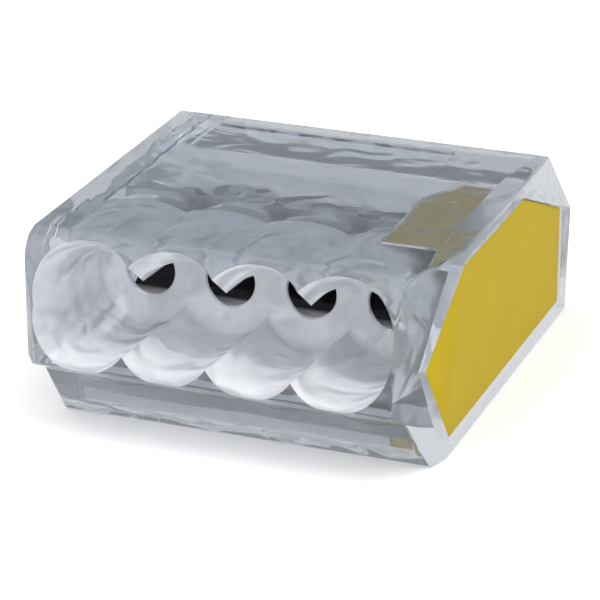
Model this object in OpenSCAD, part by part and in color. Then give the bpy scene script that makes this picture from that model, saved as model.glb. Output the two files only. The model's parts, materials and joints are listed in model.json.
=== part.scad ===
// Push-wire junction connector for four solid wires, closed by a snap-in end cover.
// Frame: origin at the middle of the underside, +X along the row of entries toward the cover,
// wire entries face -Y, +Z up. All sizes in mm.

/* [Housing outside] */
// Width along the row of entries
body_w = 19; // [16:0.1:24]
// Depth from the entry lip to the back wall
body_d = 23; // [20:0.1:28]
// Height from the underside to the top
body_h = 9.2; // [8.6:0.1:11]
// Height of the lower edge of the entry lip
lip_z = 3.4; // [3.2:0.05:3.8]
// How far the front face leans back between the lip and its rounded top edge
front_lean = 1.1; // [0.6:0.05:1.3]
// Depth of the rounded top front edge
front_round_d = 1.1; // [0.6:0.05:1.3]
// Height of the rounded top front edge
front_round_h = 0.9; // [0.5:0.05:1]
// Fall of the underside of the lip toward the back
lip_drop = 0.5; // [0.3:0.05:0.7]
// How far the lower front starts behind the lip
lip_overhang = 0.85; // [0.3:0.05:1.2]
// How far the lower front slopes back down to the underside
lower_slope = 2.0; // [1:0.05:2.4]
// How far the foot of the back wall sits in front of its widest point
back_draft = 0.45; // [0:0.05:0.8]
// Height of the widest point of the back wall
back_corner_z = 5.2; // [4.6:0.1:6]
// Depth of the slope between the top and the back wall
back_slope_d = 4.1; // [3:0.1:4.6]
// Rebate along the lower left edge
left_step = 0.9; // [0.4:0.05:1]
// Bevel of the front left corner, across the row
left_bevel_x = 0.8; // [0.3:0.05:1]
// Bevel of the front left corner, along the depth
left_bevel_y = 1.1; // [0.4:0.05:1.6]
// Bevel of the front right corner, across the row
right_bevel_x = 1.3; // [1:0.05:1.4]
// Bevel of the front right corner, back from the leaning front face
right_bevel_y = 4.6; // [3.6:0.1:5]

/* [Wire entries] */
// Length of the funnel, from the lip back to where its roof meets the tunnel
funnel_d = 2.55; // [2.2:0.05:2.8]
// Lift of the funnel axis above the tunnel axis, degrees
funnel_lift = 26; // [20:1:28]
// Growth of the funnel radius for each mm of its length
funnel_flare = 0.08; // [0.05:0.01:0.1]
// Downward slope of the entries toward the back, degrees
entry_tilt = 3.6; // [3:0.1:4.2]
// Depth of the entry axis below the top, where the funnel meets the tunnel
entry_drop = 3.65; // [3.55:0.05:3.75]
// Setback of the funnel's narrow end inside the tunnel
funnel_gap = 0.1; // [0.05:0.01:0.15]
// Radius of the tunnel that takes the insulation
tunnel_r = 2.45; // [2.2:0.05:2.5]
// Length of the tunnel behind the funnel
tunnel_len = 5.47; // [5:0.01:5.6]
// Radius of the throat that takes the bare wire
throat_r = 1.2; // [1.05:0.05:1.3]
// Length of the throat
throat_len = 1.0; // [0.8:0.05:1.2]

/* [Contact chamber] */
// Height of the chamber floor
floor_z = 1.1; // [0.9:0.05:1.2]
// Clear top wall above the chamber
roof_t = 1.35; // [1.3:0.01:1.4]
// Depth of the sloping part of the roof
roof_slope_d = 6.2; // [5.6:0.1:6.6]
// Clear wall behind the chamber
back_wall = 2.3; // [2:0.1:2.6]
// Height of the roof at the inner back wall
roof_back_z = 5.35; // [5:0.05:5.6]
// Depth of the low pocket under the tunnels
pocket_d = 4.3; // [3.6:0.05:4.4]
// Clear wall left of the chamber
left_wall = 1.45; // [1.4:0.05:1.6]

/* [Contact] */
// Thickness of the copper strip
bus_t = 0.8; // [0.6:0.05:0.9]
// Gap from the entry axis down to the copper strip
bus_drop = 1.0; // [0.95:0.05:1.1]
// Thickness of the spring leaf
leaf_t = 0.3; // [0.2:0.02:0.34]
// Width of the spring leaf
leaf_w = 2.9; // [2.4:0.05:3]
// Width of the tongue at its tip
tip_w = 2.2; // [1.6:0.05:2.4]
// Distance of the bend the tongue swings about from the throat wall
bend_room = 1.3; // [1:0.05:1.5]
// Depth of the bend the tongue swings about below the chamber roof
bend_drop = 0.56; // [0.54:0.01:0.6]
// Outer radius of the bend
bend_r = 0.35; // [0.3:0.01:0.38]
// Reach of the tongue along the depth, from its bend to its tip
tongue_reach = 5.5; // [5:0.1:5.8]

/* [End cover] */
// Thickness of the cover plate
cover_t = 1.3; // [1.1:0.05:1.35]
// Clear frame in front of the cover nose
cover_nose_d = 2.7; // [2.5:0.05:3.1]
// Height of the cover nose
cover_nose_z = 4.6; // [4.4:0.05:5.2]
// Distance of the top front corner of the cover from the lip
cover_top_d = 5.9; // [5.5:0.1:6.3]
// Distance of the bottom front corner of the cover from the lip
cover_foot_d = 4.3; // [4.1:0.05:4.4]
// Clear rim above and below the cover
cover_rim = 0.72; // [0.66:0.02:0.76]
// Clear frame behind the cover
cover_back_d = 1.6; // [1.3:0.05:1.8]
// Height of the upper back corner of the cover
cover_back_z = 5.7; // [5.6:0.05:5.9]
// Length of the plug that reaches into the chamber
plug_len = 1.05; // [0.6:0.05:1.15]
// Reach of the cover shelf into the housing
shelf_reach = 2.7; // [2:0.1:2.9]
// Depth of the cover shelf
shelf_d = 8.2; // [7:0.1:8.4]
// Thickness of the cover shelf
shelf_t = 0.26; // [0.22:0.02:0.28]
// Distance of the front of the shelf from the top front corner of the cover
shelf_inset = 0.3; // [0.2:0.05:0.6]
// Chamfer of the inner back corner of the shelf, across the row
shelf_chamfer = 1.2; // [0.6:0.1:1.6]
// How far the shelf lies below the upper edge of the cover
shelf_drop = 0.05; // [0.03:0.01:0.06]
// How far the cover lies below the end face
cover_sink = 0.1; // [0.05:0.05:0.2]

/* [Label strip] */
// Distance of the label strip from the left end of the housing
label_left = 2.4; // [1.6:0.1:3]
// Distance of the label strip from the right end of the housing
label_right = 4.3; // [3:0.1:5]
// Depth of the label strip
label_d = 3.4; // [2:0.1:4]
// Distance of the label strip from the back edge of the top
label_back = 1.2; // [0.5:0.1:1.6]
// Sink of the label strip
label_sink = 0.15; // [0.1:0.05:0.3]

/* [Fits] */
// Gap between the cover and its seat
cover_gap = 0.06; // [0.04:0.01:0.1]
// Play of the contact at each end of the row
side_gap = 0.15; // [0.1:0.01:0.2]
// Play of the copper strip along the depth
bus_play = 0.15; // [0.1:0.01:0.2]
// Free space behind the fixed legs of the springs
leg_room = 0.4; // [0.3:0.05:0.5]
// Gap between resting contact pieces and what they rest on
seat_gap = 0.05; // [0.03:0.01:0.08]
// Gap between the foot of the copper strip and the roof of its pocket
pocket_gap = 0.15; // [0.1:0.01:0.4]
// Gap between a closed tongue and the copper strip
tip_gap = 0.1; // [0.08:0.01:0.2]
// Gap between a tongue bend and the fixed leg of its spring
bend_gap = 0.3; // [0.25:0.01:0.4]

/* [Hidden] */
$fn = 64;
x_left = -body_w / 2;
x_right = body_w / 2;
y_front = -body_d / 2;
y_back = body_d / 2;
entry_y = y_front + funnel_d;
entry_z = body_h - entry_drop;
seat_x = x_right - cover_t;
front_angle = atan2(front_lean, body_h - front_round_h - lip_z);
chamber_left = x_left + left_wall;
chamber_front = entry_y + (tunnel_len + throat_len) * cos(entry_tilt);
back_in_y = y_back - back_wall;
roof_break_y = back_in_y - roof_slope_d;
pocket_y = chamber_front - pocket_d;
pocket_z = floor_z + seat_gap + bus_t + pocket_gap;
roof_z = body_h - roof_t;
bend_y = chamber_front + bend_room;
bend_z = roof_z - bend_drop;
tip_y = bend_y + tongue_reach;
cover_nose_y = y_front + cover_nose_d;
cover_top_y = y_front + cover_top_d;
cover_foot_y = y_front + cover_foot_d;
cover_back_y = y_back - cover_back_d;
roof_slope = atan2(roof_z - roof_back_z, roof_slope_d);
roof_miter = tan(roof_slope / 2);
contact_left = chamber_left + side_gap;
contact_right = seat_x - plug_len - side_gap;
pitch = (contact_right - contact_left - leaf_w) / 3;
row_left = contact_left + leaf_w / 2;
bus_front = chamber_front + bus_play;
bus_back = back_in_y - bus_play;
leg_y = back_in_y - leg_room - leaf_t;
funnel_h = funnel_d + 1.4;
funnel_r = tunnel_r - funnel_gap;
label_y = y_back - back_slope_d - label_back - label_d;
shelf_y = cover_top_y + shelf_inset;
shelf_top = body_h - cover_rim - shelf_drop;
tip_z = bus_top(tip_y) + tip_gap;
leaf_run = tip_y - bend_y;
leaf_fall = bend_z - tip_z;
leaf_angle = atan2(leaf_fall, leaf_run);
leaf_len = sqrt(leaf_run * leaf_run + leaf_fall * leaf_fall);
foot_front = bend_y + bend_r + bend_gap;

// Middle of wire entry n along the row, counted from the left
function entry_x(n) = row_left + pitch * (n - 1);

// Height of the entry axis at depth y
function axis_z(y) = entry_z - (y - entry_y) * tan(entry_tilt);

// Height of the top of the copper strip at depth y
function bus_top(y) = axis_z(y) - bus_drop / cos(entry_tilt);

// Height of a line that lies d below the sloping roof at depth y
function under_slope(d, y) =
    roof_z - d - (y - roof_break_y + d * roof_miter) * tan(roof_slope);

// Extrudes a depth and height outline along the row, from x = a to x = b
module along_row(a, b) {
    translate([a, 0, 0])
        rotate([90, 0, 90])
            linear_extrude(height = b - a)
                children();
}

// Outline of the housing seen from its end
module body_outline() {
    polygon([
        [y_front, lip_z],
        [y_front + lip_overhang, lip_z - lip_drop],
        [y_front + lip_overhang + lower_slope, 0],
        [y_back - back_draft, 0],
        [y_back, back_corner_z],
        [y_back - back_slope_d, body_h],
        [y_front + front_lean + front_round_d, body_h],
        [y_front + front_lean + front_round_d * 0.4, body_h - front_round_h * 0.28],
        [y_front + front_lean, body_h - front_round_h]
    ]);
}

// Outline of the contact chamber, made smaller by d all round
module chamber_outline(d) {
    polygon([
        [chamber_front + d, roof_z - d],
        [chamber_front + d, pocket_z - d],
        [pocket_y + d, pocket_z - d],
        [pocket_y + d, floor_z + d],
        [back_in_y - d, floor_z + d],
        [back_in_y - d, under_slope(d, back_in_y - d)],
        [roof_break_y - d * roof_miter, roof_z - d]
    ]);
}

// Outline of the end cover, made smaller by d on its straight sides
module cover_outline(d) {
    polygon([
        [cover_nose_y + d, cover_nose_z],
        [cover_foot_y + d, cover_rim + d],
        [cover_back_y - d, cover_rim + d],
        [cover_back_y - d, cover_back_z],
        [roof_break_y + 0.4, body_h - cover_rim - d],
        [cover_top_y + d, body_h - cover_rim - d]
    ]);
}

// Shelf that guides the cover under the top wall, made smaller by d all round
module shelf(d) {
    inner = seat_x - shelf_reach + d;
    translate([0, 0, shelf_top - shelf_t - 2 * cover_gap + d])
        linear_extrude(height = shelf_t + 2 * (cover_gap - d))
            polygon([
                [inner, shelf_y + d],
                [seat_x + 0.5, shelf_y + d],
                [seat_x + 0.5, shelf_y + shelf_d - d],
                [inner + shelf_chamfer, shelf_y + shelf_d - d],
                [inner, shelf_y + shelf_d - 2 * shelf_chamfer - d]
            ]);
}

// Puts a cylinder's own axis on wire entry n, pointing out of its mouth
module on_entry(n) {
    translate([entry_x(n), entry_y, entry_z])
        rotate([90 - entry_tilt, 0, 0])
            children();
}

// Funnel, insulation tunnel and throat of wire entry n
module entry_cut(n) {
    on_entry(n) {
        translate([0, 0, -tunnel_len])
            cylinder(h = tunnel_len + funnel_d + 1, r = tunnel_r);
        // The funnel is lifted, so that only its roof and sides open out
        rotate([-funnel_lift, 0, 0])
            cylinder(h = funnel_h, r1 = funnel_r, r2 = funnel_r + funnel_h * funnel_flare);
        translate([0, 0, -tunnel_len - throat_len - 0.4])
            cylinder(h = throat_len + 0.5, r = throat_r);
    }
}

// What the leaning bevel of the front right corner takes away, moved inward by d
module right_bevel(d) {
    translate([0, y_front, lip_z])
        rotate([-front_angle, 0, 0])
            translate([0, 0, -body_h])
                linear_extrude(height = body_h * 2.5)
                    polygon([
                        [x_right - right_bevel_x - d, -3],
                        [x_right + 2, -3],
                        [x_right + 2, right_bevel_y],
                        [x_right - d, right_bevel_y],
                        [x_right - right_bevel_x - d, 0]
                    ]);
}

// Bevels of the two front corners and the rebate along the lower left edge
module corner_cuts() {
    translate([0, 0, -1])
        linear_extrude(height = body_h + 2)
            polygon([
                [x_left - 1, y_front - 1],
                [x_left + left_bevel_x, y_front - 1],
                [x_left + left_bevel_x, y_front],
                [x_left, y_front + left_bevel_y],
                [x_left - 1, y_front + left_bevel_y]
            ]);
    right_bevel(0);
    translate([x_left - 1, y_front - 1, -1])
        cube([left_step + 1, body_d + 2, lip_z - 0.2 + 1]);
}

// Clear housing with funnels, throats, chamber and the seat of the cover
module housing() {
    color([0.86, 0.88, 0.92, 0.35])
        difference() {
            along_row(x_left, x_right) body_outline();
            corner_cuts();
            for (n = [1 : 4]) entry_cut(n);
            along_row(chamber_left, x_right + 1) chamber_outline(0);
            along_row(seat_x, x_right + 1) cover_outline(0);
            shelf(0);
            // Bare label strip on the top
            translate([x_left + label_left, label_y, body_h - label_sink])
                cube([body_w - label_left - label_right, label_d, 1]);
        }
}

// Coloured cover that snaps into the right end, with its plug and its shelf
module end_cover() {
    color([0.8, 0.66, 0.05])
        union() {
            difference() {
                along_row(seat_x + cover_gap, x_right - cover_sink) cover_outline(cover_gap);
                right_bevel(cover_sink);
            }
            along_row(seat_x - plug_len, seat_x + cover_gap + 0.1) chamber_outline(cover_gap);
            shelf(cover_gap);
        }
}

// Tinned copper strip shared by the four wires
module busbar() {
    color([0.8, 0.78, 0.74])
        along_row(contact_left, contact_right)
            polygon([
                [bus_back, bus_top(bus_back)],
                [bus_front + 0.6, bus_top(bus_front + 0.6)],
                [bus_front, bus_top(bus_front) - 0.4],
                [bus_front, floor_z + seat_gap + bus_t],
                [pocket_y + bus_play, floor_z + seat_gap + bus_t],
                [pocket_y + bus_play, floor_z + seat_gap],
                [bus_front + bus_t, floor_z + seat_gap],
                [bus_front + bus_t, bus_top(bus_front + bus_t) - bus_t],
                [bus_back, bus_top(bus_back) - bus_t]
            ]);
}

// Fixed leg of the spring of wire n: along the roof, then down to the copper strip
module spring_foot(n) {
    near = seat_gap;
    far = seat_gap + leaf_t;
    color([0.72, 0.74, 0.77])
        along_row(entry_x(n) - leaf_w / 2, entry_x(n) + leaf_w / 2)
            polygon([
                [foot_front, roof_z - near],
                [foot_front, roof_z - far],
                [roof_break_y - far * roof_miter, roof_z - far],
                [leg_y, under_slope(far, leg_y)],
                [leg_y, bus_top(leg_y) + seat_gap],
                [leg_y + leaf_t, bus_top(leg_y) + seat_gap],
                [leg_y + leaf_t, under_slope(near, leg_y + leaf_t)],
                [roof_break_y - near * roof_miter, roof_z - near]
            ]);
}

// Swinging tongue of the spring of wire n, drawn with no wire in
module clamp_tongue(n) {
    color([0.72, 0.74, 0.77])
        translate([entry_x(n), bend_y, bend_z]) {
            rotate([0, 90, 0])
                translate([0, 0, -leaf_w / 2])
                    cylinder(h = leaf_w, r = bend_r);
            rotate([-leaf_angle, 0, 0])
                linear_extrude(height = leaf_t)
                    polygon([
                        [-leaf_w / 2, 0],
                        [leaf_w / 2, 0],
                        [leaf_w / 2, leaf_len * 0.55],
                        [tip_w / 2, leaf_len],
                        [-tip_w / 2, leaf_len],
                        [-leaf_w / 2, leaf_len * 0.55]
                    ]);
        }
}

housing();
end_cover();
busbar();
spring_foot(1);  // spring_foot_1
spring_foot(2);  // spring_foot_2
spring_foot(3);  // spring_foot_3
spring_foot(4);  // spring_foot_4
clamp_tongue(1);  // clamp_tongue_1
clamp_tongue(2);  // clamp_tongue_2
clamp_tongue(3);  // clamp_tongue_3
clamp_tongue(4);  // clamp_tongue_4
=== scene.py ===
# %% [markdown]
# # Dressing a clear push-in wire connector
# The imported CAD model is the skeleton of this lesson: a clear housing with four wire entries, a
# yellow end cover, a tinned copper strip and four sprung steel tongues. It is loaded first and never
# moved. Everything below gives those solids the edges, finishes and light that the eye expects.

import bmesh
import bpy
import json
import math
from mathutils import Matrix, Vector


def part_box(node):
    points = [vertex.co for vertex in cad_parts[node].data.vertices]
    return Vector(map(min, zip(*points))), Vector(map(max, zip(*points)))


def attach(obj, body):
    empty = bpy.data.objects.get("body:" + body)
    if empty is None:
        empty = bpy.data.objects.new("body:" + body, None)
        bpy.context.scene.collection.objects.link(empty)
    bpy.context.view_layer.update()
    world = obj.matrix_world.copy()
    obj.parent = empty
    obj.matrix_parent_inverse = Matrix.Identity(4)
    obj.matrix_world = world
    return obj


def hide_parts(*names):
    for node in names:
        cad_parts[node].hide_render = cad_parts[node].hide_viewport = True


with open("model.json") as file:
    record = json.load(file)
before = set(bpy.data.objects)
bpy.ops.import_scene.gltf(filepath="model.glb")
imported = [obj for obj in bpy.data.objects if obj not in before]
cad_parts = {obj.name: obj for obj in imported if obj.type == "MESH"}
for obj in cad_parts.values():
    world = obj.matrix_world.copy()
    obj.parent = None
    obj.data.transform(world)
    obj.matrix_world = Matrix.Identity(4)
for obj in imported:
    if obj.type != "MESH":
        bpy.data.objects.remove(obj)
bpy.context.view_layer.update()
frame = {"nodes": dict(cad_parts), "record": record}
MM = 0.001
print("nodes:", sorted(frame["nodes"]))

# %% [markdown]
# Colours are picked as sRGB hex values, as they are read off a screen. Blender's shaders work in
# linear light, so one function turns a hex value into a linear colour. A second one adds a node with
# its settings and links, for material trees and for Geometry Nodes alike.

# %% Colour and node helpers
def linear(hex_colour):
    parts = [int(hex_colour[i:i + 2], 16) / 255 for i in (1, 3, 5)]
    return tuple(c / 12.92 if c <= 0.04045 else ((c + 0.055) / 1.055) ** 2.4 for c in parts) + (1.0,)


def add_node(tree, kind, inputs=None, **settings):
    node = tree.nodes.new(kind)
    for name, value in settings.items():
        setattr(node, name, value)
    for name, value in (inputs or {}).items():
        if isinstance(value, bpy.types.NodeSocket):
            tree.links.new(value, node.inputs[name])
        else:
            node.inputs[name].default_value = value
    return node


def new_material(name):
    material = bpy.data.materials.new(name)
    material.use_nodes = True
    material.node_tree.nodes.clear()
    return material, material.node_tree


print("mid grey in linear light:", [round(c, 3) for c in linear("#808080")[:3]])

# %% [markdown]
# The camera stands where the photographer stood. Its place came from fitting the corners of the
# housing, so it can be typed as one point, one direction and a long lens. The small shift keeps
# the object where it sits in the frame without turning the camera.

# %% Camera
camera_data = bpy.data.cameras.new("camera")
camera_data.sensor_width = 36
camera_data.lens = 180
camera_data.shift_x = -0.0203
camera_data.shift_y = 0.0532
camera_data.clip_start = 0.01
camera = bpy.data.objects.new("camera", camera_data)
bpy.context.scene.collection.objects.link(camera)
camera.location = Vector((46.55, -121.77, 57.58)) * MM
view_back = Vector((0.32649, -0.85905, 0.39427))
camera.rotation_euler = (-view_back).to_track_quat("-Z", "Y").to_euler()
bpy.context.scene.camera = camera
print("camera distance in mm:", round(camera.location.length / MM, 1))

# %% [markdown]
# ## Finishes
# The housing is clear polycarbonate from a polished mould. It bends light more than window glass
# (IOR 1.585) and has a cool grey tint. A slow, slightly swirled noise, as wide as the flow marks of the
# melt, changes tint, gloss and slope a little. The walls inside were shaped by cores: the pins of the
# wire entries are ground and not polished, so there the plastic is rougher, milky and wavy. Surface
# tint counts at every wall that light crosses, so only the outer skin has it. The attribute "matt_pin",
# which the cutters bring along further down, says where each finish goes.

# %% Clear polycarbonate, moulded
FLOW_WIDTH, FLOW_SWIRL, WAVE_HEIGHT = 2.5 * MM, 0.7, 0.7 * MM
CLEAR_IOR, CLARITY = 1.585, 0.97
PIN_MILK, PIN_ROUGHNESS, SKIN_WAVES = 0.54, 0.17, 0.12
clear, tree = new_material("clear_polycarbonate_moulded")
place = add_node(tree, "ShaderNodeTexCoord").outputs["Object"]
flow = add_node(tree, "ShaderNodeTexNoise",
                {"Vector": place, "Scale": 1 / FLOW_WIDTH, "Detail": 1.0, "Distortion": FLOW_SWIRL})
tint = add_node(tree, "ShaderNodeMix", {0: flow.outputs[0], 6: linear("#D2D9E3"), 7: linear("#C9D2DC")},
                data_type="RGBA")
polished = add_node(tree, "ShaderNodeMapRange", {0: flow.outputs[0], 3: 0.02, 4: 0.06})
ground = add_node(tree, "ShaderNodeAttribute", attribute_name="matt_pin").outputs["Fac"]
inside = add_node(tree, "ShaderNodeMapRange", {0: ground, 1: 0.0, 2: 0.3}).outputs[0]
tint = add_node(tree, "ShaderNodeMix", {0: inside, 6: tint.outputs[2], 7: linear("#F8FAFF")},
                data_type="RGBA")
rough = add_node(tree, "ShaderNodeMath", {0: ground, 1: PIN_ROUGHNESS, 2: polished.outputs[0]},
                 operation="MULTIPLY_ADD")
clarity = add_node(tree, "ShaderNodeMath", {0: ground, 1: -PIN_MILK, 2: CLARITY}, operation="MULTIPLY_ADD")
waves = add_node(tree, "ShaderNodeMath", {0: ground, 1: ground, 2: SKIN_WAVES}, operation="MULTIPLY_ADD")
bump = add_node(tree, "ShaderNodeBump",
                {"Height": flow.outputs[0], "Strength": waves.outputs[0], "Distance": WAVE_HEIGHT})
skin = add_node(tree, "ShaderNodeBsdfPrincipled", {
    "Base Color": tint.outputs[2], "Roughness": rough.outputs[0], "Normal": bump.outputs[0],
    "IOR": CLEAR_IOR, "Transmission Weight": clarity.outputs[0]})
add_node(tree, "ShaderNodeOutputMaterial", {"Surface": skin.outputs[0]})
print("material:", clear.name)

# %% [markdown]
# The end cover is an opaque yellow moulding with a satin skin: the tool was spark-eroded, which
# leaves a fine grain of about a tenth of a millimetre. It is drawn slightly coarser so that it shows.

# %% Yellow plastic, moulded satin
yellow, tree = new_material("yellow_polycarbonate_satin_moulded")
place = add_node(tree, "ShaderNodeTexCoord").outputs["Object"]
cloud = add_node(tree, "ShaderNodeTexNoise", {"Vector": place, "Scale": 1 / (4 * MM), "Detail": 3.0})
grain = add_node(tree, "ShaderNodeTexNoise", {"Vector": place, "Scale": 1 / (0.14 * MM), "Detail": 2.0})
tint = add_node(tree, "ShaderNodeMix", {0: cloud.outputs[0], 6: linear("#C5AC09"), 7: linear("#BBA106")},
                data_type="RGBA")
rough = add_node(tree, "ShaderNodeMapRange", {0: grain.outputs[0], 3: 0.42, 4: 0.58})
bump = add_node(tree, "ShaderNodeBump",
                {"Height": grain.outputs[0], "Strength": 0.15, "Distance": 0.01 * MM})
skin = add_node(tree, "ShaderNodeBsdfPrincipled", {
    "Base Color": tint.outputs[2], "Roughness": rough.outputs[0], "Normal": bump.outputs[0],
    "IOR": 1.5, "Specular IOR Level": 0.12})
add_node(tree, "ShaderNodeOutputMaterial", {"Surface": skin.outputs[0]})
print("material:", yellow.name)

# %% [markdown]
# Both metals are rolled, so their marks run one way: a noise that is stretched along the rolling
# direction. The strip is copper with matte tin, which scatters light almost like paint. Its plateau,
# where the wires are clamped, is painted near black above a set height: painted shade in the contact,
# so the throats look black. The springs are hardened strip steel, brushed grey.

# %% Rolled metals
ALONG, ACROSS = 1 / (3 * MM), 1 / (0.15 * MM)
# The strip's colour turns to painted shade between these two heights.
SHADE_FROM, SHADE_FULL = 3.55 * MM, 3.85 * MM


def rolled_metal(name, light, dark, stretch, roughness, metallic=1.0, painted_shade=None):
    material, tree = new_material(name)
    place = add_node(tree, "ShaderNodeTexCoord").outputs["Object"]
    lay = add_node(tree, "ShaderNodeMapping", {"Vector": place, "Scale": stretch})
    lines = add_node(tree, "ShaderNodeTexNoise", {"Vector": lay.outputs[0], "Scale": 1.0, "Detail": 3.0})
    tint = add_node(tree, "ShaderNodeMix", {0: lines.outputs[0], 6: linear(light), 7: linear(dark)},
                    data_type="RGBA")
    # Painted shade: above a set height the colour is blended to a near-black shade colour.
    if painted_shade:
        height = add_node(tree, "ShaderNodeSeparateXYZ", {0: place}).outputs["Z"]
        shade_mask = add_node(tree, "ShaderNodeMapRange", {0: height, 1: SHADE_FROM, 2: SHADE_FULL})
        tint = add_node(tree, "ShaderNodeMix", {0: shade_mask.outputs[0], 6: tint.outputs[2], 7: linear(painted_shade)},
                        data_type="RGBA")
    rough = add_node(tree, "ShaderNodeMapRange",
                     {0: lines.outputs[0], 3: roughness - 0.07, 4: roughness + 0.07})
    bump = add_node(tree, "ShaderNodeBump",
                    {"Height": lines.outputs[0], "Strength": 0.1, "Distance": 0.01 * MM})
    skin = add_node(tree, "ShaderNodeBsdfPrincipled", {
        "Base Color": tint.outputs[2], "Roughness": rough.outputs[0], "Normal": bump.outputs[0],
        "Metallic": metallic})
    add_node(tree, "ShaderNodeOutputMaterial", {"Surface": skin.outputs[0]})
    return material


# The near-black colour is painted shade on the strip's plateau, so the throats look black.
tin = rolled_metal("tinned_copper_rolled", "#F2F1EE", "#E6E4E0", (ALONG, ACROSS, ACROSS), 0.5,
                   metallic=0.5, painted_shade="#17181A")
steel = rolled_metal("spring_steel_hardened_rolled", "#A3A6AA", "#85888D", (ACROSS, ALONG, ALONG), 0.3)
print("metals:", tin.name, steel.name)

# %% [markdown]
# ## The clear housing
# Glass-like plastic shows its edges more than its faces, so the block gets true rounded edges before
# anything is cut out of it: rounding a plain block is easy, rounding it after the cuts is not.
# The block is the housing's end outline, drawn once and pushed along the row of entries. Two planes
# then slice off the front corners, as the CAD solid has them.

# %% Outer block of the housing
low, high = (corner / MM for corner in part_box("housing"))
body_h = high.z
lip_z = 3.4
front_lean, front_drop = 1.1, 0.9
back_slope = 4.1
end_outline = [
    (low.y, lip_z),
    (low.y + 0.85, lip_z - 0.5),
    (low.y + 2.85, 0),
    (high.y - 0.45, 0),
    (high.y, 5.2),
    (high.y - back_slope, body_h),
    (low.y + 2.2, body_h),
    (low.y + 1.54, body_h - 0.25),
    (low.y + front_lean, body_h - front_drop),
]


def push(corners, way):
    """A closed mesh from a flat ring of corners in mm, pushed along a vector."""
    shape = bmesh.new()
    face = shape.faces.new([shape.verts.new(corner) for corner in corners])
    pushed = bmesh.ops.extrude_face_region(shape, geom=[face])
    moved = [v for v in pushed["geom"] if isinstance(v, bmesh.types.BMVert)]
    bmesh.ops.translate(shape, verts=moved, vec=way)
    bmesh.ops.recalc_face_normals(shape, faces=shape.faces)
    return shape


def prism(outline, x_from, x_to):
    """A depth and height outline, pushed along the row."""
    return push([(x_from, y, z) for y, z in outline], (x_to - x_from, 0, 0))


def slice_off(shape, point, outward):
    """Cuts away what lies outside a plane and closes the cut."""
    cut = bmesh.ops.bisect_plane(
        shape, geom=shape.verts[:] + shape.edges[:] + shape.faces[:], dist=1e-6,
        plane_co=point, plane_no=outward, clear_outer=True)
    rim = [e for e in cut["geom_cut"] if isinstance(e, bmesh.types.BMEdge)]
    bmesh.ops.contextual_create(shape, geom=rim)


block = prism(end_outline, low.x, high.x)
slice_off(block, (low.x, low.y + 1.1, 0), Vector((-1.1, -0.8, 0)).normalized())
front_angle = math.atan2(front_lean, body_h - front_drop - lip_z)
lean = Matrix.Rotation(-front_angle, 3, "X")
slice_off(block, Vector((high.x - 1.3, low.y, lip_z)), lean @ Vector((4.6, -1.3, 0)).normalized())
bmesh.ops.recalc_face_normals(block, faces=block.faces)
print("block faces:", len(block.faces))

# %% [markdown]
# Modifiers do the rounding and the cuts. Their result is read back into a plain mesh after each step,
# so that the next step starts from clean geometry and no live modifier is left on the piece.

# %% Object helpers
def as_object(name, shape):
    mesh = bpy.data.meshes.new(name)
    shape.transform(Matrix.Scale(MM, 4))
    shape.to_mesh(mesh)
    shape.free()
    piece = bpy.data.objects.new(name, mesh)
    bpy.context.scene.collection.objects.link(piece)
    return piece


def settle(piece):
    """Replaces a piece's mesh by what its modifiers make of it, and removes them."""
    bpy.context.view_layer.update()
    made = bpy.data.meshes.new_from_object(piece.evaluated_get(bpy.context.evaluated_depsgraph_get()))
    piece.modifiers.clear()
    piece.data = made
    return piece


def cut_with(piece, cutter, matt=0.0):
    """Takes a cutter's space out of a piece and removes the cutter. The new walls keep its matt value."""
    cutter.data.attributes.new("matt_pin", "FLOAT", "FACE").data.foreach_set(
        "value", [matt] * len(cutter.data.polygons))
    cut = piece.modifiers.new("cut", "BOOLEAN")
    cut.solver = "MANIFOLD"
    cut.operation = "DIFFERENCE"
    cut.object = cutter
    settle(piece)
    bpy.data.objects.remove(cutter)


def round_edges(piece, width, angle, segments):
    rounding = piece.modifiers.new("moulded_edges", "BEVEL")
    rounding.width = width * MM
    rounding.segments = segments
    rounding.limit_method = "ANGLE"
    rounding.angle_limit = math.radians(angle)
    settle(piece)


housing = as_object("clear_housing", block)
rebate_top, rebate_depth = lip_z - 0.2, 0.9
rebate = prism([(low.y - 1, -1), (high.y + 1, -1), (high.y + 1, rebate_top), (low.y - 1, rebate_top)],
               low.x - 1, low.x + rebate_depth)
cut_with(housing, as_object("rebate_cutter", rebate))
round_edges(housing, 0.26, 18, 3)
print("rounded block:", len(housing.data.polygons), "faces")

# %% [markdown]
# Four wire entries stand in a row at one pitch, so a Geometry Nodes tree makes them. A tunnel for the
# insulation is swept along its axis with a radius that follows a profile curve, down to the throat for
# the bare wire. Behind its rim the throat opens out, so no lit wall shows in it and it looks black. A
# cone that is lifted toward the top opens the roof of each mouth, as a funnel does. Both are set on one
# line of points and taken out of the block.

# %% Wire entries as a node tree
ENTRY_TILT, FUNNEL_LIFT = math.radians(3.6), math.radians(26)
FUNNEL_D, TUNNEL_D, THROAT_D = 3.55, 5.47, 1.4
CONE_H, CONE_FOOT, CONE_FLARE = 3.95, 2.35, 0.08
TUNNEL_R, THROAT_R, THROAT_END_R, WIDEST = 2.45, 1.2, 1.75, 3
ENTRY_END = TUNNEL_D + 1.0
RADII = {
    0.0: TUNNEL_R,
    FUNNEL_D + 4.9: TUNNEL_R,
    FUNNEL_D + 5.25: 2.25,
    FUNNEL_D + 5.42: 1.5,
    FUNNEL_D + 5.5: THROAT_R + 0.02,
    FUNNEL_D + 5.6: THROAT_R,
    FUNNEL_D + 5.72: THROAT_R + 0.02,
    FUNNEL_D + ENTRY_END: THROAT_END_R,
}
ENTRY_LEN = FUNNEL_D + TUNNEL_D + THROAT_D

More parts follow.
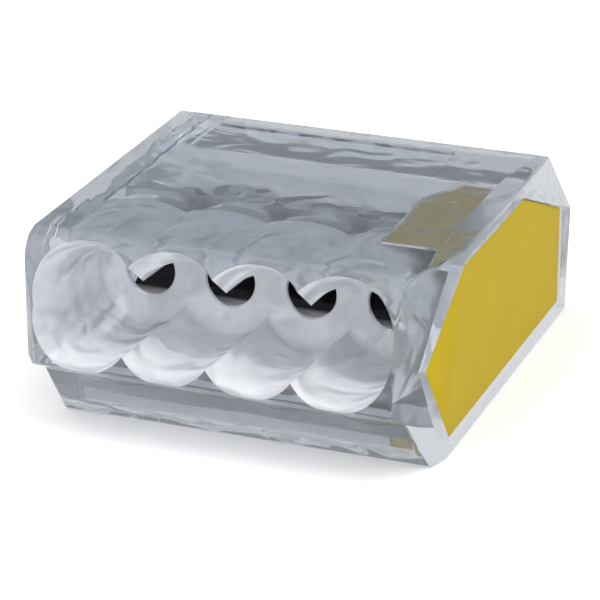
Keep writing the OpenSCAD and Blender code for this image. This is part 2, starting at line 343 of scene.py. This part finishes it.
entry_tree = bpy.data.node_groups.new("wire_entry_row", "GeometryNodeTree")
sockets = {}
for name, kind in (("Block", "Geometry"), ("Count", "Int"), ("Pitch", "Float"), ("First X", "Float"),
                   ("Axis Y", "Float"), ("Axis Z", "Float"), ("Tilt", "Float"), ("Lift", "Float"),
                   ("Widest", "Float"), ("Cone Foot", "Float"), ("Cone Mouth", "Float"),
                   ("Plastic", "Material")):
    item = entry_tree.interface.new_socket(name, in_out="INPUT", socket_type="NodeSocket" + kind)
    sockets[name] = item.identifier
entry_tree.interface.new_socket("Block", in_out="OUTPUT", socket_type="NodeSocketGeometry")
given = add_node(entry_tree, "NodeGroupInput").outputs
axis = add_node(entry_tree, "GeometryNodeCurvePrimitiveLine",
                {"Start": (0, 0, FUNNEL_D * MM), "End": (0, 0, -(TUNNEL_D + THROAT_D) * MM)})
steps = add_node(entry_tree, "GeometryNodeResampleCurve", {"Curve": axis.outputs[0], "Count": 120})
along = add_node(entry_tree, "GeometryNodeSplineParameter")
profile = add_node(entry_tree, "ShaderNodeFloatCurve", {"Value": along.outputs["Factor"]})
points = profile.mapping.curves[0].points
for depth, radius in RADII.items():
    place = (depth / ENTRY_LEN, radius / WIDEST)
    point = points[0] if depth == 0 else points.new(*place)
    point.location = place
    point.handle_type = "AUTO_CLAMPED"
points[-1].location = (1.0, THROAT_END_R / WIDEST)
profile.mapping.update()
radius = add_node(entry_tree, "ShaderNodeMath", {0: profile.outputs[0], 1: given["Widest"]},
                  operation="MULTIPLY")
circle = add_node(entry_tree, "GeometryNodeCurvePrimitiveCircle", {"Resolution": 96, "Radius": 1.0})
tunnel = add_node(entry_tree, "GeometryNodeCurveToMesh",
                  {"Curve": steps.outputs[0], "Profile Curve": circle.outputs[0],
                   "Scale": radius.outputs[0], "Fill Caps": True})
cone = add_node(entry_tree, "GeometryNodeMeshCone",
                {"Vertices": 96, "Side Segments": 1, "Radius Bottom": given["Cone Foot"],
                 "Radius Top": given["Cone Mouth"], "Depth": CONE_H * MM})
start = add_node(entry_tree, "ShaderNodeCombineXYZ",
                 {"X": given["First X"], "Y": given["Axis Y"], "Z": given["Axis Z"]})
stride = add_node(entry_tree, "ShaderNodeCombineXYZ", {"X": given["Pitch"]})
row = add_node(entry_tree, "GeometryNodeMeshLine",
               {"Count": given["Count"], "Start Location": start.outputs[0], "Offset": stride.outputs[0]})
turn = add_node(entry_tree, "ShaderNodeCombineXYZ", {"X": given["Tilt"]})
raised = add_node(entry_tree, "ShaderNodeCombineXYZ", {"X": given["Lift"]})
pins = [add_node(entry_tree, "GeometryNodeStoreNamedAttribute",
                 {"Geometry": shape.outputs[0], "Name": "matt_pin", "Value": 1.0},
                 domain="FACE", data_type="FLOAT")
        for shape in (tunnel, cone)]
tunnels = add_node(entry_tree, "GeometryNodeInstanceOnPoints",
                   {"Points": row.outputs[0], "Instance": pins[0].outputs[0], "Rotation": turn.outputs[0]})
cones = add_node(entry_tree, "GeometryNodeInstanceOnPoints",
                 {"Points": row.outputs[0], "Instance": pins[1].outputs[0], "Rotation": raised.outputs[0]})
opened = add_node(entry_tree, "GeometryNodeMeshBoolean",
                  {"Mesh 1": given["Block"], "Mesh 2": tunnels.outputs[0]}, operation="DIFFERENCE",
                  solver="MANIFOLD")
entry_tree.links.new(cones.outputs[0], opened.inputs["Mesh 2"])
real = add_node(entry_tree, "GeometryNodeRealizeInstances", {"Geometry": opened.outputs[0]})
coated = add_node(entry_tree, "GeometryNodeSetMaterial",
                  {"Geometry": real.outputs[0], "Material": given["Plastic"]})
add_node(entry_tree, "NodeGroupOutput", {"Block": coated.outputs[0]})
print("tree:", entry_tree.name, len(entry_tree.nodes), "nodes")

# %% [markdown]
# The pitch and the first place of the row come from the part's own record, so the holes stay on the
# places where wires are plugged in.

# %% Open the wire entries
entries = housing.modifiers.new("wire_entries", "NODES")
entries.node_group = entry_tree
mounts = [m for m in frame["record"]["mounts"] if m["kind"] == "bore"]
first_x, second_x = (m["pos_m"][0] for m in mounts[:2])
entry_y, entry_z = low.y + 2.55, 5.55
cone_mouth = CONE_FOOT + CONE_H * CONE_FLARE
for name, value in (("Count", len(mounts)), ("Pitch", second_x - first_x), ("First X", first_x),
                    ("Axis Y", entry_y * MM), ("Axis Z", entry_z * MM),
                    ("Tilt", math.pi / 2 - ENTRY_TILT), ("Lift", math.pi / 2 - ENTRY_TILT - FUNNEL_LIFT),
                    ("Widest", WIDEST * MM), ("Cone Foot", CONE_FOOT * MM), ("Cone Mouth", cone_mouth * MM),
                    ("Plastic", clear)):
    entries[sockets[name]] = value
settle(housing)
print("with entries:", len(housing.data.polygons), "faces")

# %% [markdown]
# Behind the throats lies the contact chamber, which is open at the right end until the cover closes
# it. The seat of the cover, the slot for its shelf and a bare, shallow label strip on the top are cut
# the same way. The cores that shape the chamber are less rough than the pins.

# %% Chamber, cover seat and label strip
chamber_front = entry_y + ENTRY_END * math.cos(ENTRY_TILT)
back_in, roof_z = high.y - 2.3, body_h - 1.35
floor_z, pocket_z, pocket_front = 1.1, 2.1, chamber_front - 4.3
chamber = prism([(chamber_front, roof_z), (chamber_front, pocket_z), (pocket_front, pocket_z),
                 (pocket_front, floor_z), (back_in, floor_z), (back_in, 5.35), (back_in - 6.2, roof_z)],
                low.x + 1.45, high.x + 1)
cut_with(housing, as_object("chamber_cutter", chamber), matt=0.35)
cover_t, rim = 1.3, 0.72
seat_back = high.y - 1.6
seat = prism([(low.y + 2.7, 4.6), (low.y + 4.3, rim), (seat_back, rim), (seat_back, 5.7),
              (back_in - 5.8, body_h - rim), (low.y + 5.9, body_h - rim)], high.x - cover_t, high.x + 1)
cut_with(housing, as_object("seat_cutter", seat), matt=0.3)
shelf_x, shelf_y, shelf_z = high.x - 4.0, low.y + 6.2, body_h - 1.15
shelf_w, shelf_d, shelf_corner = 3.2, 8.2, 1.2
shelf_outline = [(0, 0), (shelf_w, 0), (shelf_w, shelf_d), (shelf_corner, shelf_d),
                 (0, shelf_d - 2 * shelf_corner)]
shelf = push([(shelf_x + x, shelf_y + y, shelf_z) for x, y in shelf_outline], (0, 0, 0.38))
cut_with(housing, as_object("shelf_cutter", shelf), matt=0.3)
strip_y, strip_d, strip_z = high.y - back_slope - 1.2, 3.4, body_h - 0.15
strip = prism([(strip_y - strip_d, strip_z), (strip_y, strip_z), (strip_y, body_h + 1),
               (strip_y - strip_d, body_h + 1)], low.x + 2.4, high.x - 4.3)
cut_with(housing, as_object("strip_cutter", strip))
print("housing:", len(housing.data.polygons), "faces")

# %% [markdown]
# Smooth shading with sharp creases keeps the curved walls round and the flat faces flat. The finished
# housing then rides on the fixed body and takes the place of the CAD solid.

# %% Shade the housing
def shade(piece, angle):
    piece.data.shade_smooth()
    piece.data.set_sharp_from_angle(angle=math.radians(angle))
    even = piece.modifiers.new("flat_faces_stay_flat", "WEIGHTED_NORMAL")
    even.keep_sharp = True
    settle(piece)


shade(housing, 32)
housing.data.materials.clear()
housing.data.materials.append(clear)
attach(housing, "block")
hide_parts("housing")
print("housing vertices:", len(housing.data.vertices))

# %% [markdown]
# ## Cover and contact
# The cover and the strip already have the right shape in the CAD model, but their edges are knife
# sharp, and a real moulding or stamping never is. A merged copy of each gets rounded edges.

# %% Rounded copies of the cover and the strip
def rounded_copy(node_name, piece_name, width, finish):
    shape = bmesh.new()
    shape.from_mesh(frame["nodes"][node_name].data)
    bmesh.ops.remove_doubles(shape, verts=shape.verts, dist=0.002 * MM)
    bmesh.ops.dissolve_limit(shape, angle_limit=math.radians(1), verts=shape.verts, edges=shape.edges)
    bmesh.ops.recalc_face_normals(shape, faces=shape.faces)
    shape.transform(Matrix.Scale(1 / MM, 4))
    piece = as_object(piece_name, shape)
    round_edges(piece, width, 20, 3)
    shade(piece, 35)
    piece.data.materials.clear()
    piece.data.materials.append(finish)
    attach(piece, "block")
    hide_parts(node_name)
    return piece


cover = rounded_copy("end_cover", "yellow_cover", 0.12, yellow)
strip_piece = rounded_copy("busbar", "tinned_strip", 0.08, tin)
print("cover and strip faces:", len(cover.data.polygons), len(strip_piece.data.polygons))

# %% [markdown]
# The springs keep their CAD shape and only get their finish.

# %% Springs
springs = [node for name, node in frame["nodes"].items()
           if name.startswith(("spring_foot", "clamp_tongue"))]
for node in springs:
    node.data.materials.clear()
    node.data.materials.append(steel)
print("springs:", len(springs))

# %% [markdown]
# ## Stage
# A white paper sweep and soft light, as in a catalogue picture. The paper is lit like everything else,
# so it keeps the shadow, and a little glow where it is seen directly makes it read as white. Clear
# plastic shows it at one even level, without the shadow of the plastic itself, which light would
# brighten again on its way through.

# %% Floor
scene = bpy.context.scene
scene.view_settings.view_transform = "Standard"
floor_shape = bmesh.new()
bmesh.ops.create_grid(floor_shape, x_segments=1, y_segments=1, size=1500)
floor = as_object("floor", floor_shape)
PAPER_GLOW, PAPER_THROUGH = 0.08, 0.8
paper, tree = new_material("white_paper_sweep")
ray = add_node(tree, "ShaderNodeLightPath").outputs
through = add_node(tree, "ShaderNodeMath", {0: ray["Is Glossy Ray"], 1: ray["Is Transmission Ray"]},
                   operation="MAXIMUM")
matte = add_node(tree, "ShaderNodeBsdfDiffuse", {"Color": (0.97, 0.97, 0.97, 1)})
lift = add_node(tree, "ShaderNodeMath", {0: ray["Is Camera Ray"], 1: PAPER_GLOW}, operation="MULTIPLY")
glow = add_node(tree, "ShaderNodeEmission", {"Color": (1, 1, 1, 1), "Strength": lift.outputs[0]})
direct = add_node(tree, "ShaderNodeAddShader", {0: matte.outputs[0], 1: glow.outputs[0]})
plain = add_node(tree, "ShaderNodeEmission", {"Color": (1, 1, 1, 1), "Strength": PAPER_THROUGH})
paper_mix = add_node(tree, "ShaderNodeMixShader",
                     {0: through.outputs[0], 1: direct.outputs[0], 2: plain.outputs[0]})
add_node(tree, "ShaderNodeOutputMaterial", {"Surface": paper_mix.outputs[0]})
floor.data.materials.append(paper)
print("floor:", paper.name)

# %% [markdown]
# The world is a grey room with one big white panel above and in front of the object. Clear plastic
# shows little but what it bends and mirrors, so a room that is white all round would leave it without
# edges. Mirrors and glass see the room at full level; on matte surfaces it is a bit lower, which
# leaves room for one broad lamp from the upper right, so the shadow falls to the left.

# %% World and lamp
PANEL_WAY = Vector((-0.2, -0.75, 0.65)).normalized()
ROOM_LEVEL, PANEL_LEVEL = 0.25, 1.65
ON_MATTE, IN_MIRRORS = 0.95, 1.0
LAMP_FROM = Vector((0.5, 0.05, 1.0))
world = bpy.data.worlds.new("white_room")
scene.world = world
world.use_nodes = True
tree = world.node_tree
tree.nodes.clear()
ray = add_node(tree, "ShaderNodeLightPath").outputs
seen = add_node(tree, "ShaderNodeMath", {0: ray["Is Camera Ray"], 1: ray["Is Glossy Ray"]},
                operation="MAXIMUM")
seen = add_node(tree, "ShaderNodeMath", {0: seen.outputs[0], 1: ray["Is Transmission Ray"]},
                operation="MAXIMUM")
level = add_node(tree, "ShaderNodeMapRange", {0: seen.outputs[0], 3: ON_MATTE, 4: IN_MIRRORS})
way = add_node(tree, "ShaderNodeTexCoord").outputs["Generated"]
nearness = add_node(tree, "ShaderNodeVectorMath", {0: way, 1: PANEL_WAY}, operation="DOT_PRODUCT")
panel = add_node(tree, "ShaderNodeMapRange",
                 {0: nearness.outputs["Value"], 1: 0.0, 2: 0.7, 3: ROOM_LEVEL, 4: PANEL_LEVEL})
level = add_node(tree, "ShaderNodeMath", {0: level.outputs[0], 1: panel.outputs[0]}, operation="MULTIPLY")
glow = add_node(tree, "ShaderNodeBackground", {"Color": (1, 1, 1, 1), "Strength": level.outputs[0]})
add_node(tree, "ShaderNodeOutputWorld", {"Surface": glow.outputs[0]})

sun_data = bpy.data.lights.new("key", "SUN")
sun_data.energy = 0.9
sun_data.angle = math.radians(50)
sun = bpy.data.objects.new("key", sun_data)
scene.collection.objects.link(sun)
sun.rotation_euler = (-LAMP_FROM).to_track_quat("-Z", "Y").to_euler()
print("lamp energy:", sun_data.energy)

# %% [markdown]
# Light has to bounce often inside clear plastic before it finds its way out. More bounces than usual
# keep the housing from going dark.

# %% Light bounces
scene.cycles.max_bounces = 32
scene.cycles.glossy_bounces = 16
scene.cycles.transmission_bounces = 32
print("bounces:", scene.cycles.max_bounces)
